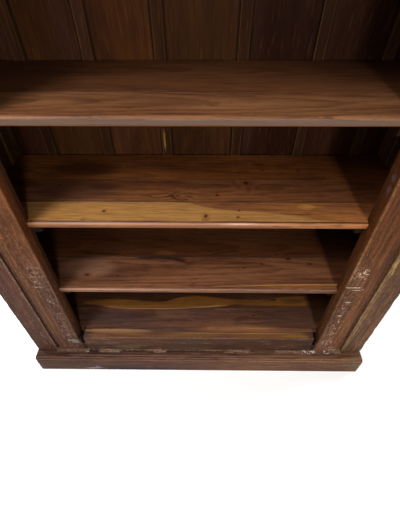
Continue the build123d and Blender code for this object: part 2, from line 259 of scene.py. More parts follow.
# Teak for a CAD node, with growth rings round a pith, streaks, pores, knots and sapwood.
# Sizes are in millimetres; places on the face are (along the grain, across the board).
def teak(node, suffix="", **changes):
    look = {**plainTeak, **changes}
    finish = Finish(node + suffix, look["axes"])
    low, high = boxOf(node)
    middle = (Vector(low) + Vector(high)) / 2
    across0 = middle["xyz".index(look["axes"][1])]
    through0 = middle["xyz".index(look["axes"][2])]

    broad = finish.fibre(1.4, 7, 3, 0.55)
    warp = finish.fibre(1.1, 6, 2, 0.5, turn=7)
    streaks = finish.fibre(4.5, 95, 4, 0.64, turn=13)
    threads = finish.fibre(11, 220, 3, 0.62, turn=17)
    mottle = finish.fibre(17, 50, 3, 0.62, turn=23)
    fine = finish.fibre(16, 520, 2, 0.6, turn=19)
    pores = finish.fibre(40, 900, 1, 0.5, turn=29)

    # Growth rings.
    toPithAcross = finish.across - (across0 + look["pith"][0] * mm)
    toPithThrough = (finish.through - (through0 - look["pith"][1] * mm)
                     + finish.along * look["tilt"])
    radius = (toPithAcross * toPithAcross + toPithThrough * toPithThrough) ** 0.5
    phase = ((radius + (warp - 0.5) * (look["wander"] * mm) + (mottle - 0.5) * 0.009)
             / (look["ring"] * mm))
    for x, y, wide, tall, turns in look["eyes"]:
        reach = finish.ellipse(finish.face, x, y, wide, tall)
        phase = phase + finish.ease(reach, 1.6, 0) * turns
    ring = finish.node("Math", {"operation": "FRACT"}, {0: phase})
    late = finish.ease(ring, 0.3, 0.88) * finish.ease(ring, 1.0, 0.9)

    # Heartwood.
    finish.colour = finish.mix(finish.ease(broad, 0.36, 0.64), look["dark"], look["light"])
    finish.paint(finish.ease(warp, 0.5, 0.72) * look["patchShare"], look["patch"])
    finish.paint(late * look["ringShare"], look["late"])
    finish.paint(finish.ease(streaks, 0.5, 0.66) * look["streakShare"], look["late"])
    finish.paint(finish.ease(streaks, 0.46, 0.3) * (look["streakShare"] * 0.6), look["light"])

    finish.paint(finish.ease(mottle, 0.52, 0.68) * look["mottleShare"], look["light"])
    finish.paint(finish.ease(mottle, 0.46, 0.3) * look["mottleShare"], look["late"])

    # Sapwood between two drawn lines, and dark veins along a line.
    waver = (finish.fibre(5, 60, 2, 0.6, turn=31) - 0.5) * 0.006
    for band in look["sapBands"]:
        under = finish.line(finish.along, band["under"]) + waver
        over = finish.line(finish.along, band["over"]) + waver
        soft = band.get("soft", 2.5) * mm
        start, end = band["ends"]
        mask = (finish.ease(finish.across - under, -soft, soft)
                * finish.ease(over - finish.across, -soft, soft)
                * finish.within(finish.along, start * mm, end * mm, 25 * mm))
        sap = finish.mix(finish.ease(streaks, 0.45, 0.68), look["sap"], look["sapDark"])
        sap = finish.mix(late * 0.4, sap, look["sapDark"])
        finish.paint(mask * band.get("share", 1), sap)
        if "rim" in band:
            start, end = band["rimEnds"]
            rim = (finish.ease((finish.across - under).size(), 10 * mm, 2 * mm)
                   * finish.within(finish.along, start * mm, end * mm, 60 * mm))
            finish.paint(mask * rim * 0.9, band["rim"])
    for vein in look["veins"]:
        gap = finish.across - finish.line(finish.along, vein["points"]) - waver
        start, end = vein["points"][0][0], vein["points"][-1][0]
        mask = (finish.ease(gap.size(), vein["width"] * mm, 0)
                * finish.within(finish.along, start * mm, end * mm, 40 * mm))
        finish.paint(mask * vein.get("share", 0.8), vein.get("tone", look["late"]))

    # Stains, patches and knots.
    ragged = finish.node("VectorMath", {"operation": "MULTIPLY_ADD"},
                         {0: finish.grit(60, output=1), 1: (0.016, 0.007, 0), 2: finish.face})
    ragged = finish.node("VectorMath", {"operation": "SUBTRACT"},
                         {0: ragged, 1: (0.008, 0.0035, 0)})
    for x, y, wide, tall, shade, share in look["blots"]:
        reach = finish.ellipse(ragged, x, y, wide, tall)
        finish.paint(finish.ease(reach, 1.15, 0.55) * share, shade)
    for x, y, wide, tall, thick, share in look["outlines"]:
        uneven = (finish.fibre(28, 60, 2, 0.5, turn=x) - 0.5) * 1.3
        gap = (finish.ellipse(ragged, x, y, wide, tall) + uneven - 1).size()
        broken = finish.ease(mottle + uneven * 0.1, 0.66, 0.46) * share
        finish.paint(finish.ease(gap, thick, 0) * broken, tone(44, 22, 12))
    hollow = None
    for x, y, wide, tall in look["knots"]:
        reach = finish.ellipse(ragged, x, y, wide, tall)
        halo = finish.ease(reach, 2.4, 0.9)
        core = finish.ease(reach, 1.1, 0.6)
        finish.paint(halo * 0.4, tone(112, 60, 28))
        finish.paint(core * 0.85, tone(46, 23, 11))
        hollow = core if hollow is None else hollow.most(core)

    # Threads and pores, lines beside an edge, then worn or dusty edges.
    finish.paint(finish.ease(threads, 0.52, 0.66) * look["threadShare"], look["late"])
    finish.paint(finish.ease(threads, 0.44, 0.3) * (look["threadShare"] * 0.5), look["sapDark"])
    finish.paint(finish.ease(fine, 0.52, 0.78) * look["fineShare"], look["late"])
    grit = finish.ease(pores, 0.6, 0.75)
    finish.paint(grit * 0.3, look["late"])
    if look["dust"]:
        speck = finish.ease(finish.fibre(70, 420, 3, 0.7, turn=43), 0.5, 0.72)
        haze = finish.ease(finish.fibre(6, 22, 3, 0.6, turn=47), 0.38, 0.7)
        finish.paint((speck * 0.7 + haze * 0.35) * look["dust"], look["dustTone"])
    if look["edgeShare"]:
        gap = finish.edgeGap(low, high) + (broad - 0.5) * 0.006 + (fine - 0.5) * 0.004
        worn = finish.ease(gap, look["edgeWidth"] * mm, 0) * look["edgeShare"]
        finish.paint(worn, look["edgeTone"])

    for place, wide, shade, share in look["lines"]:
        gap = (finish.across - place).size() + (threads - 0.5) * 0.003
        finish.paint(finish.ease(gap, wide * mm, wide * 0.3 * mm) * share, shade)

    # Painted highlight and painted shade in bands along a rounded front edge:
    # (height, half width, colour, shares along it).
    for place, wide, shade, shares in look["nose"]:
        gap = (finish.xyz[2] - (low[2] + place * mm)).size() + (threads - 0.5) * 0.0012
        mask = (finish.ease(gap, wide * mm, wide * 0.25 * mm)
                * finish.past("y", low[1] + 8 * mm, low[1] + 4.5 * mm)
                * finish.shares(shares))
        finish.paint(mask, shade)

    height = streaks * 0.5 + fine * 0.35 - late * 0.25 - grit * 0.5
    if hollow is not None:
        height = height - hollow * 0.6
    finish.look, finish.height, finish.streaks, finish.fine = look, height, streaks, fine
    return finish


# Join the colour, roughness and bump of a finish to its shader.
def seal(finish):
    look, tree = finish.look, finish.tree
    tree.links.new(finish.colour.socket, finish.shader.inputs["Base Color"])
    rough = (finish.streaks - 0.5) * 0.25 + (finish.fine - 0.5) * 0.2 + look["rough"]
    tree.links.new(rough.socket, finish.shader.inputs["Roughness"])
    bump = finish.node("Bump", None, {"Strength": look["bump"], "Distance": look["depth"] * mm,
                                      "Height": finish.height})
    tree.links.new(bump.socket, finish.shader.inputs["Normal"])
    finish.shader.inputs["Specular IOR Level"].default_value = look["gloss"]
    return finish.material


# Give a CAD node its finish.
def dress(name, finish):
    mesh = nodes[name].data
    mesh.materials.clear()
    mesh.materials.append(seal(finish))


def dressTeak(name, **changes):
    dress(name, teak(name, **changes))


# ---- camera, light and floor


shot = {"place": (0.0199, -0.9232, 1.4581), "down": 46.841, "right": -0.859,
        "roll": -0.310, "lens": 24.0, "sensor": 36.0}

camera = bpy.data.objects.new("camera", bpy.data.cameras.new("camera"))
camera.data.lens = shot["lens"]
camera.data.sensor_width = shot["sensor"]
camera.data.clip_start, camera.data.clip_end = 0.05, 60
camera.matrix_world = (Matrix.Translation(shot["place"])
                       @ Matrix.Rotation(math.radians(-shot["right"]), 4, "Z")
                       @ Matrix.Rotation(math.radians(90 - shot["down"]), 4, "X")
                       @ Matrix.Rotation(math.radians(shot["roll"]), 4, "Z"))
bpy.context.scene.collection.objects.link(camera)
bpy.context.scene.camera = camera
bpy.context.scene.view_settings.view_transform = "Standard"

# The front light is in two groups: low lamps nearly straight ahead, which throw the
# straight shadow beside the right jamb, and softer high lamps at the left.
lamps = {
    "aheadLamp": {"place": (0.7, -3.3, 1.9), "aim": (0, -0.1, 0.7), "size": (0.5, 0.8),
                  "watts": 62},
    "leftLowLamp": {"place": (-0.82, -3.28, 1.55), "aim": (0, -0.1, 0.7), "size": (0.8, 0.8),
                    "watts": 14},
    "leftMiddleLamp": {"place": (-1.28, -1.48, 2.71), "aim": (0, -0.1, 0.7),
                       "size": (0.8, 0.8), "watts": 36},
    "leftHighLamp": {"place": (-1.04, -0.93, 3.08), "aim": (0, -0.1, 0.7), "size": (0.8, 0.8),
                     "watts": 28},
    "leftLamp": {"place": (-3.6, 1.6, 2.4), "aim": (-0.7, 0.1, 0.9), "size": (1.8, 1.8),
                 "watts": 95},
    "rightLamp": {"place": (3.6, 1.6, 2.4), "aim": (0.7, 0.1, 0.9), "size": (1.8, 1.8),
                  "watts": 95},
    "backLamp": {"place": (0.6, 4.0, 2.6), "aim": (0, 0.2, 0.9), "size": (1.8, 1.8),
                 "watts": 110},
}
for name, lamp in lamps.items():
    light = bpy.data.lights.new(name, "AREA")
    light.shape, light.energy = "ELLIPSE", lamp["watts"]
    light.size, light.size_y = lamp["size"]
    holder = bpy.data.objects.new(name, light)
    holder.location = lamp["place"]
    direction = Vector(lamp["aim"]) - Vector(lamp["place"])
    holder.rotation_euler = direction.to_track_quat("-Z", "Y").to_euler()
    holder.visible_camera = False
    bpy.context.scene.collection.objects.link(holder)

room = {"ambient": 0.16, "floorColour": (0.82, 0.81, 0.8, 1), "floorGlow": 0.25, "size": 14,
        "fade": (2.2, 4.6)}

world = bpy.data.worlds.new("studio")
bpy.context.scene.world = world
world.use_nodes = True
sky = Nodes(world.node_tree)
dim = sky.node("Background", None, {"Color": (1, 1, 1, 1), "Strength": room["ambient"]})
white = sky.node("Background", None, {"Color": (1, 1, 1, 1), "Strength": 1})
sky.show(sky.node("MixShader", None, {0: sky.seeing(), 1: dim, 2: white}), "World Output")

bm = bmesh.new()
bmesh.ops.create_grid(bm, x_segments=1, y_segments=1, size=room["size"])
floorMesh = bpy.data.meshes.new("floor")
bm.to_mesh(floorMesh)
bm.free()
floor = bpy.data.objects.new("floor", floorMesh)
bpy.context.scene.collection.objects.link(floor)

floorFinish = Finish("paleFloor")
floorFinish.shader.inputs["Base Color"].default_value = room["floorColour"]
floorFinish.shader.inputs["Roughness"].default_value = 0.9
floorFinish.shader.inputs["Specular IOR Level"].default_value = 0.1
seen = floorFinish.seeing()
glow = floorFinish.node("Emission", None, {"Color": (1, 1, 1, 1),
                                           "Strength": seen * room["floorGlow"]})
lit = Signal(floorFinish, floorFinish.shader.outputs[0])
near = floorFinish.node("AddShader", None, {0: lit, 1: glow})
# Far from the piece, the floor is as white as the world behind it.
far = floorFinish.node("Emission", None, {"Color": (1, 1, 1, 1), "Strength": 1})
reach = floorFinish.node("VectorMath", {"operation": "LENGTH"}, {0: floorFinish.place}, output=1)
fade = seen * floorFinish.ease(reach, *room["fade"])
floorFinish.show(floorFinish.node("MixShader", None, {0: fade, 1: near, 2: far}),
                 "Material Output")
floorMesh.materials.append(floorFinish.material)
print("camera, lamps and floor are set")


# ---- boards of the deck and the shelves


board = {"axes": "xyz", "rough": 0.42, "gloss": 0.18, "bump": 0.25, "depth": 0.5}
# Tint for painted shade towards the ends of the boards, at the back.
cornerShadeTint = (0.68, 0.66, 0.64)
# Painted highlight and painted shade for the rounded front edges of the shelves.
noseHighlight, under = tone(184, 140, 122), tone(62, 38, 28)
goldOver = [(-527, -23), (-439, -13), (-379, -11), (-288, -17), (-204, -22), (-145, -20),
            (-108, -6), (-71, 6), (-25, 11), (50, 5), (126, -4), (200, -10), (276, -9), (352, 3),
            (429, 12), (475, 15)]
goldUnder = [(-532, -37), (-471, -39), (-424, -50), (-363, -58), (-281, -62), (-171, -61),
             (-61, -58), (50, -50), (124, -43), (162, -34), (235, -37), (309, -39), (383, -41),
             (475, -38)]
goldBand = {"ends": (-527, 490), "soft": 2.5, "under": goldUnder, "over": goldOver,
            "rim": tone(176, 128, 80), "rimEnds": (-440, 140)}

boardLooks = {
    "shelf_2_front_board": {
        "light": tone(160, 100, 52), "dark": tone(124, 74, 38), "sap": tone(169, 121, 66),
        "sapDark": tone(141, 97, 53), "pith": (-30, 70), "ring": 7, "ringShare": 0.3,
        "sapBands": [{"ends": (-700, 560), "under": [(-700, -163), (700, -163)], "soft": 4,
                      "over": [(-700, -40), (-130, -60), (-85, -74), (-17, -80), (8, -93),
                               (39, -102), (99, -112), (159, -118), (248, -129), (334, -145),
                               (360, -157), (420, -163), (560, -170)]}],
        "knots": [(-282, -119, 7, 5), (25, -141, 7, 9), (126, -113, 5, 4), (122, -146, 5, 4)],
        "blots": [(91, -85, 30, 9, tone(92, 50, 30), 0.55), (332, -95, 30, 15,
                  tone(178, 124, 56), 0.65), (25, -158, 14, 6, tone(112, 70, 40), 0.6),
                  (-336, -158, 10, 5, tone(110, 72, 42), 0.6), (444, -90, 60, 14,
                  tone(92, 50, 30), 0.4)],
        "veins": [{"points": [(-700, -167), (700, -167)], "width": 5, "share": 0.95}],
        "nose": [(20, 4.5, noseHighlight, [(-700, 0.2), (-430, 0.3), (-300, 0.6), (-160, 0.45),
                                    (-40, 0.35), (60, 0.4), (120, 0.95), (190, 0.4), (300, 0.1),
                                    (700, 0.05)]),
                 (4, 11, under, [(-700, 0.45), (0, 0.35), (700, 0.25)])],
    },
    "shelf_2_middle_board": {
        "light": tone(136, 84, 48), "dark": tone(101, 58, 33), "pith": (26, 110), "ring": 8,
        "eyes": [(-51, -38, 40, 30, 1.8), (160, 20, 40, 26, 1.4)],
        "outlines": [(-51, -40, 29, 22, 0.34, 0.7), (-49, -39, 15, 11, 0.42, 0.6),
                     (-122, -40, 38, 12, 0.34, 0.65)],
        "knots": [(63, -39, 8, 6), (159, 29, 9, 12), (-454, 14, 6, 5), (-203, 33, 6, 4)],
        "blots": [(-400, -20, 150, 50, tone(76, 46, 37), 0.6),
                  (-305, 8, 60, 20, tone(52, 28, 20), 0.55),
                  (-20, -38, 10, 16, tone(112, 72, 40), 0.5),
                  (165, -4, 12, 12, tone(70, 36, 22), 0.6),
                  (444, -40, 45, 18, tone(108, 62, 42), 0.5)],
        "veins": [{"points": [(190, 20), (260, 24), (360, 14), (470, 20)], "width": 4,
                   "share": 0.5}],
    },
    "shelf_2_back_board": {
        "light": tone(152, 90, 43), "dark": tone(115, 64, 28), "pith": (-60, 120), "ring": 10,
        "knots": [(221, 107, 8, 5), (344, 101, 7, 6)],
        "blots": [(210, 140, 24, 10, tone(52, 30, 16), 0.6),
                  (-390, 110, 140, 55, tone(64, 32, 16), 0.75)],
    },
    "shelf_1_front_board": {
        "light": tone(128, 82, 54), "dark": tone(102, 62, 40), "sap": tone(176, 124, 72),
        "sapDark": tone(150, 96, 52), "pith": (20, 80), "ring": 9, "ringShare": 0.35,
        "eyes": [(-412, -106, 34, 18, 1.5), (-90, -60, 90, 34, 1.2)],
        "sapBands": [{"ends": (44, 700), "soft": 1.2,
                      "under": [(44, -160), (164, -156), (255, -153), (376, -151), (496, -150),
                                (700, -150)],
                      "over": [(44, -158), (104, -156), (164, -153), (255, -148), (376, -145),
                               (700, -144)]}],
        "knots": [(-412, -106, 11, 7), (-299, -109, 7, 5), (174, -69, 6, 4), (242, -49, 8, 6),
                  (427, -46, 12, 6), (348, -20, 12, 9)],
        "blots": [(370, -160, 170, 8, tone(146, 92, 48), 0.6),
                  (-300, -112, 30, 12, tone(86, 50, 38), 0.5),
                  (-170, -46, 110, 6, tone(142, 98, 68), 0.5),
                  (60, -57, 110, 5, tone(138, 92, 62), 0.45),
                  (-110, -20, 66, 9, tone(52, 30, 19), 0.75),
                  (-190, -15, 60, 5, tone(56, 32, 21), 0.7),
                  (-420, -70, 120, 52, tone(148, 108, 86), 0.5),
                  (200, -120, 180, 18, tone(128, 80, 50), 0.4)],
        "veins": [{"points": [(-261, -12), (-195, -20), (-150, -15), (-97, -23), (-45, -41),
                              (-25, -58)], "width": 13, "share": 0.95},
                  {"points": [(-440, -84), (-300, -78), (-170, -92)], "width": 3, "share": 0.4},
                  {"points": [(-700, -166), (700, -166)], "width": 3, "share": 0.55}],
        "nose": [(20, 4.5, noseHighlight, [(-700, 0.3), (-400, 0.45), (-250, 0.45), (-60, 0.2),
                                    (120, 0.1), (700, 0.1)]),
                 (4, 11, under, [(-700, 0.3), (700, 0.3)])],
    },
    "shelf_1_back_board": {
        "light": tone(103, 60, 32), "dark": tone(78, 42, 21), "pith": (-40, 100), "ring": 9,
        "knots": [(-294, -5, 8, 5), (306, 2, 12, 5)],
        "veins": [{"points": [(-482, 10), (-415, 5), (-329, 2), (-262, -8)], "width": 10,
                   "share": 0.85},
                  {"points": [(32, -5), (85, 9), (144, 19), (177, 10)], "width": 8,
                   "share": 0.8}],
        "blots": [(-132, 8, 50, 13, tone(120, 76, 42), 0.55),
                  (-150, -9, 70, 5, tone(48, 28, 18), 0.7),
                  (-330, 40, 150, 26, tone(68, 40, 30), 0.4)],
    },
    "deck_front_board": {
        "light": tone(112, 76, 56), "dark": tone(86, 56, 44), "pith": (30, 90), "ring": 10,
        "patch": tone(84, 62, 58), "patchShare": 0.7, "sap": tone(133, 86, 38),
        "sapDark": tone(113, 71, 31), "sapBands": [goldBand],
        "blots": [(52, -156, 20, 10, tone(140, 96, 72), 0.7),
                  (-370, -105, 150, 34, tone(72, 54, 52), 0.55),
                  (0, -140, 260, 16, tone(118, 76, 52), 0.5),
                  (-345, -170, 150, 7, tone(168, 126, 88), 0.75),
                  (230, -160, 260, 16, tone(140, 90, 56), 0.75),
                  (270, -156, 170, 3.5, tone(168, 114, 72), 0.55),
                  (440, -166, 50, 8, tone(140, 98, 50), 0.6),
                  (400, -110, 160, 70, tone(66, 42, 34), 0.65)],
        "knots": [(238, -92, 9, 5)],
        "veins": [{"points": [(143, -110), (194, -101), (265, -109), (337, -104), (422, -111)],
                   "width": 7, "share": 0.75},
                  {"points": [(-500, -122), (-200, -128), (100, -118), (300, -120)], "width": 3,
                   "share": 0.4}],
    },
    "deck_middle_board": {
        "light": tone(92, 58, 36), "dark": tone(66, 40, 26), "pith": (-20, 80), "ring": 9,
        "sap": tone(133, 86, 38), "sapDark": tone(113, 71, 31), "sapBands": [goldBand],
        "blots": [(305, -10, 24, 10, tone(84, 62, 48), 0.7), (338, -8, 14, 9,
                  tone(50, 32, 26), 0.8), (420, -14, 60, 14, tone(84, 52, 28), 0.6),
                  (200, -20, 60, 12, tone(84, 50, 26), 0.4)],
        "knots": [(322, -6, 6, 5)],
    },
    "deck_back_board": {"light": tone(92, 56, 34), "dark": tone(66, 38, 24), "ring": 9},
    "shelf_3_front_board": {
        "light": tone(130, 86, 54), "dark": tone(104, 64, 40), "ring": 8, "pith": (10, 90),
        # The upper band on the front edge is a painted highlight.
        "nose": [(12, 10, tone(84, 68, 58), [(-700, 0.85), (700, 0.85)]),
                 (2.5, 4, tone(112, 70, 34), [(-700, 0.5), (0, 0.85), (200, 0.6), (700, 0.75)])]},
    "shelf_3_back_board": {"light": tone(116, 72, 44), "dark": tone(88, 52, 32), "ring": 9},
    "shelf_4_front_board": {"light": tone(128, 82, 52), "dark": tone(100, 60, 38), "ring": 8,
                            "knots": [(-210, -96, 8, 6), (388, -60, 7, 6)]},
    "shelf_4_back_board": {"light": tone(114, 70, 42), "dark": tone(86, 50, 32), "ring": 10},
    "top_front_board": {"light": tone(116, 78, 54), "dark": tone(86, 54, 38), "ring": 10,
                        "edgeShare": 0.5, "dust": 0.2, "rough": 0.55,
                        "knots": [(-352, -110, 11, 9), (268, -60, 9, 7)]},
    "top_back_board": {"light": tone(110, 72, 50), "dark": tone(82, 52, 36), "ring": 11,
                       "edgeShare": 0.5, "dust": 0.2, "rough": 0.55,
                       "knots": [(120, 130, 10, 8)]},
}
for name, look in boardLooks.items():
    low, high = boxOf(name)
    joints = [] if "front" in name else [low[1]]
    joints += [] if "back" in name else [high[1]]
    lines = [(place, 1.8, tone(22, 12, 8), 0.95) for place in joints]
    finish = teak(name, **{**board, "lines": lines, **look})
    if not name.startswith("top"):
        # Painted shade at the back ends, and a painted shadow beside the right jamb.
        ends = finish.ease(finish.xyz[0].size(), 0.24, 0.42) * finish.past("y", -0.04, 0.1)
        finish.tinted(ends, (1, 1, 1), cornerShadeTint)
        jambShadow = finish.past("x", 0.486, 0.5) * finish.past("y", -0.15, -0.12)
        finish.tinted(jambShadow, (1, 1, 1), (0.55, 0.5, 0.46))
    dress(name, finish)
print("boards are finished")


# ---- back, sides and supports


backLooks = {
    "back_board_1": {"light": tone(48, 23, 10), "dark": tone(34, 16, 7)},
    "back_board_2": {"light": tone(65, 37, 15), "dark": tone(48, 25, 10),
                     "eyes": [(870, -420, 200, 40, 2)]},
    "back_board_3": {"light": tone(82, 45, 18), "dark": tone(61, 32, 13)},
    "back_board_4": {"light": tone(70, 40, 16), "dark": tone(50, 27, 10),
                     "outlines": [(872, 20, 20, 16, 0.3, 0.6), (850, 12, 12, 20, 0.35, 0.5)],
                     "eyes": [(870, 20, 120, 40, 3)]},
    "back_board_5": {"light": tone(46, 18, 6), "dark": tone(33, 12, 4)},
    "back_board_6": {"light": tone(43, 19, 7), "dark": tone(32, 12, 5)},
    "back_board_7": {"light": tone(40, 17, 8), "dark": tone(29, 11, 5)},
}
batten = {"half": 17, "shadow": tone(26, 14, 8), "arris": tone(84, 58, 32)}
for number, (name, look) in enumerate(backLooks.items()):
    low, high = boxOf(name)
    sides = [low[0] + (batten["half"] + 3) * mm, high[0] - (batten["half"] + 3) * mm]
    settings = {"pith": (25 - 14 * number, 100), "ring": 14, "ringShare": 0.3, "tilt": 0.02,
                "streakShare": 0.3, "rough": 0.6, "gloss": 0.04,
                "lines": [(place, 5, batten["shadow"], 0.7) for place in sides], **look}
    dressTeak(name, **settings)

joints = [boxOf(f"back_board_{number}")[0][0] for number in range(2, 8)]
arrises = [(joint - 15 * mm, 3, batten["arris"], 0.6) for joint in joints]
arrises += [(joint + 15 * mm, 2.5, batten["arris"], 0.35) for joint in joints]
dressTeak("cover_battens", light=tone(58, 32, 14), dark=tone(40, 22, 9), ring=14, ringShare=0.3,
          pith=(10, 200), rough=0.6, gloss=0.04, lines=arrises,
          blots=[(858, -120, 45, 4.5, tone(138, 104, 42), 0.9)])

sideLook = {"axes": "zyx", "light": tone(112, 72, 48), "dark": tone(78, 48, 32), "ring": 10,
            "edgeShare": 0.5, "edgeTone": tone(136, 100, 72), "edgeWidth": 5, "dust": 0.12,
            "rough": 0.55}
railLook = {**sideLook, "axes": "yzx"}


# Painted light on an upright: lighter and greener but for its outer and rear faces,
# and a painted highlight along its front arris.
def litInside(finish, low, high):
    inside = finish.past("x", low[0] + 2 * mm, low[0] + 6 * mm)
    back = finish.past("y", high[1] - 2 * mm, high[1] - 6 * mm)
    finish.tinted(inside * back, (1, 1, 1), (1.3, 1.55, 1.1))
    arris = finish.ease((finish.xyz[1] - (low[1] + 3 * mm)).size(), 6 * mm, 2 * mm)
    finish.paint(arris * inside * 0.95, tone(158, 130, 72))


for side in ("left", "right"):
    for part in ("front_stile", "back_stile", "lower_panel", "upper_panel"):
        name = f"side_{part}_{side}"
        changes = {"pith": (30, 60), "ring": 13} if "panel" in part else {}
        finish = teak(name, **{**sideLook, **changes})
        # Painted light on the left back stile.
        if name == "side_back_stile_left":
            litInside(finish, *boxOf(name))
        dress(name, finish)
    for part in ("bottom", "middle", "top"):
        name = f"side_{part}_rail_{side}"
        dressTeak(name, **railLook)
    dressTeak(f"plinth_side_{side}", **railLook)

hiddenLook = {"light": tone(112, 74, 50), "dark": tone(80, 50, 34), "edgeShare": 0.3,
              "rough": 0.6, "dust": 0.2}
for name, axes in (("base_rail", "xzy"), ("plinth_back", "xzy"), ("plinth_corner_blocks", "zxy"),
                   ("deck_ledger", "xzy"), ("deck_bearers", "yxz"), ("shelf_cleats", "yxz"),
                   ("back_rails", "xzy")):
    finish = teak(name, **{**hiddenLook, "axes": axes})
    # Painted shade: the front of the cleats, behind the jambs, is made nearly black.
    if name == "shelf_cleats":
        finish.paint(finish.past("y", 0, -0.08) * 0.9, tone(22, 12, 8))
    dress(name, finish)

# Painted shade: the blocks under the shelves are made nearly black, with old paint flakes
# on the end of the left block under the second shelf.
blocks = teak("shelf_corner_blocks",
              **{**hiddenLook, "axes": "xzy", "edgeShare": 0, "gloss": 0.03})
flake = blocks.ease(blocks.fibre(90, 90, 3, 0.7, turn=51), 0.44, 0.58)
inner = (blocks.past("x", -0.512, -0.5) * blocks.past("x", -0.46, -0.47)
         * blocks.past("z", 0.7, 0.71) * blocks.past("z", 0.81, 0.8))
blocks.paint(0.93, tone(20, 11, 7))
blocks.paint(flake * inner * 0.25, tone(58, 60, 52))
dress("shelf_corner_blocks", blocks)

# Pegs, whose end grain shows, and steel screws.
pegs = Finish("tenonPegs")
rings = pegs.grit(420)
patch = pegs.grit(35, 2)
pegs.colour = pegs.mix(pegs.ease(rings, 0.35, 0.65), tone(60, 36, 24), tone(112, 74, 48))
pegs.paint(pegs.ease(patch, 0.5, 0.7) * 0.4, tone(132, 102, 78))
pegs.look = {**plainTeak, "rough": 0.6, "bump": 0.5, "depth": 0.4}
pegs.height, pegs.streaks, pegs.fine = rings, patch, rings
dress("tenon_pegs", pegs)

steel = Finish("screwSteel")
scratches = steel.grit(900, 4)
rust = steel.grit(160)
steel.colour = steel.mix(steel.ease(rust, 0.52, 0.7), tone(150, 148, 144), tone(96, 62, 42))
steel.look = {**plainTeak, "rough": 0.4, "bump": 0.3, "depth": 0.15}
steel.height, steel.streaks, steel.fine = scratches, scratches, rust
steel.tree.links.new((0.95 - steel.ease(rust, 0.52, 0.7) * 0.8).socket,
                     steel.shader.inputs["Metallic"])
dress("back_screws", steel)
print("back, sides and fittings are finished")


# ---- worked copies of CAD nodes


# A merged copy of a CAD node, with its flat faces whole again.
def copyNode(name):
    bm = bmesh.new()
    bm.from_mesh(nodes[name].data)
    bmesh.ops.remove_doubles(bm, verts=bm.verts, dist=0.02 * mm)
    bmesh.ops.dissolve_limit(bm, angle_limit=math.radians(0.5), verts=bm.verts, edges=bm.edges)
    return bm


# The marks that a worn copy carries for its material.
def wearMarks(bm):
    return [bm.verts.layers.float.new(name) for name in ("relief", "crest", "worn")]


# The points of a copy that lie on its front plane.
def frontVerts(bm, plane):
    return [vert for vert in bm.verts if vert.co.y < plane + 0.2 * mm]


def steps(start, end, size):
    count = max(1, round(abs(end - start) / size))
    return [start + (end - start) * i / count for i in range(count + 1)]


# Cut a mesh through at some places along an axis, to give it points that can move.
def sliceThrough(bm, axis, places):
    normal = Vector([float(axis == i) for i in range(3)])
    for place in places:
        bmesh.ops.bisect_plane(bm, geom=[*bm.verts, *bm.edges, *bm.faces], dist=0.01 * mm,
                               plane_co=normal * place, plane_no=normal)


def rough(place, scale):
    return noise.fractal(Vector(place) * scale, 1.0, 2.0, 3)


# Bites out of an arris, as (place, half length, depth).
def bites(seed, start, end, count, longest, deepest):
    chance = random.Random(seed)
    return [(chance.uniform(start, end), chance.uniform(0.2, 1) * longest,
             chance.uniform(0.2, 1) ** 2 * deepest) for _ in range(count)]


def biteAt(places, where):
    depth = 0
    for middle, reach, most in places:
        gap = abs(where - middle) / reach
        if gap < 1:
            depth = max(depth, most * (1 - gap * gap) ** 0.5)
    return depth


# Round an arris by a radius that changes along it. The edge and the inward signs are for
# the two axes other than the one it runs along.
def wearArris(bm, worn, axis, edge, inward, radius, places=(), seed=0.0):
    first, second = [i for i in range(3) if i != axis]
    for vert in bm.verts:
        a = (vert.co[first] - edge[0]) * inward[0]
        b = (vert.co[second] - edge[1]) * inward[1]
        if a < -0.3 * mm or b < -0.3 * mm or a > 20 * mm or b > 20 * mm:
            continue
        where = vert.co[axis]
        reach = radius * (1 + 0.5 * rough((where, seed, 0), 35)) + biteAt(places, where)
        if a < reach and b < reach:
            gap = Vector((a - reach, b - reach))
            if gap.length > reach:
                vert[worn] = min(1, vert[worn] + (gap.length - reach) / (2 * mm))
                gap *= reach / gap.length
                vert.co[first] = edge[0] + (reach + gap.x) * inward[0]
                vert.co[second] = edge[1] + (reach + gap.y) * inward[1]


# Turn a finished bmesh into the piece that stands for a CAD node.
def makePiece(bm, name, node, finish):
    bmesh.ops.dissolve_degenerate(bm, dist=0.005 * mm, edges=bm.edges)
    bmesh.ops.triangulate(bm, faces=[f for f in bm.faces if len(f.verts) > 4])
    mesh = bpy.data.meshes.new(name)
    bm.to_mesh(mesh)
    bm.free()
    mesh.polygons.foreach_set("use_smooth", [True] * len(mesh.polygons))
    mesh.set_sharp_from_angle(angle=math.radians(40))
    mesh.materials.append(seal(finish))
    piece = bpy.data.objects.new(name, mesh)
    bpy.context.scene.collection.objects.link(piece)
    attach(piece, "root")
    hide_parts(node)
    print(name, "has", len(mesh.polygons), "faces")


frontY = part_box("outer_stile_left")[0].y     # front plane of the doorway
openingHalf = 0.5
bandWidth = 0.058
bandEdge = openingHalf + bandWidth
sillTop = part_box("sill")[1].z
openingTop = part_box("lintel")[0].z

# ---- carving


carving = {
    "depth": 2.4, "border": 6, "wave": 174, "crest": 326.5, "sway": 9, "stem": 2.4,
    "flower": 11, "leaf": (13, 5), "vine": (262, 518), "zigzag": (188, 250),
    "bars": [(538, 546), (527, 531), (252, 258)], "motif": 612, "motifSize": 25,
}


def bump(distance, width):
    return max(0.0, 1 - (distance / width) ** 2) ** 0.6 if distance < width else 0.0


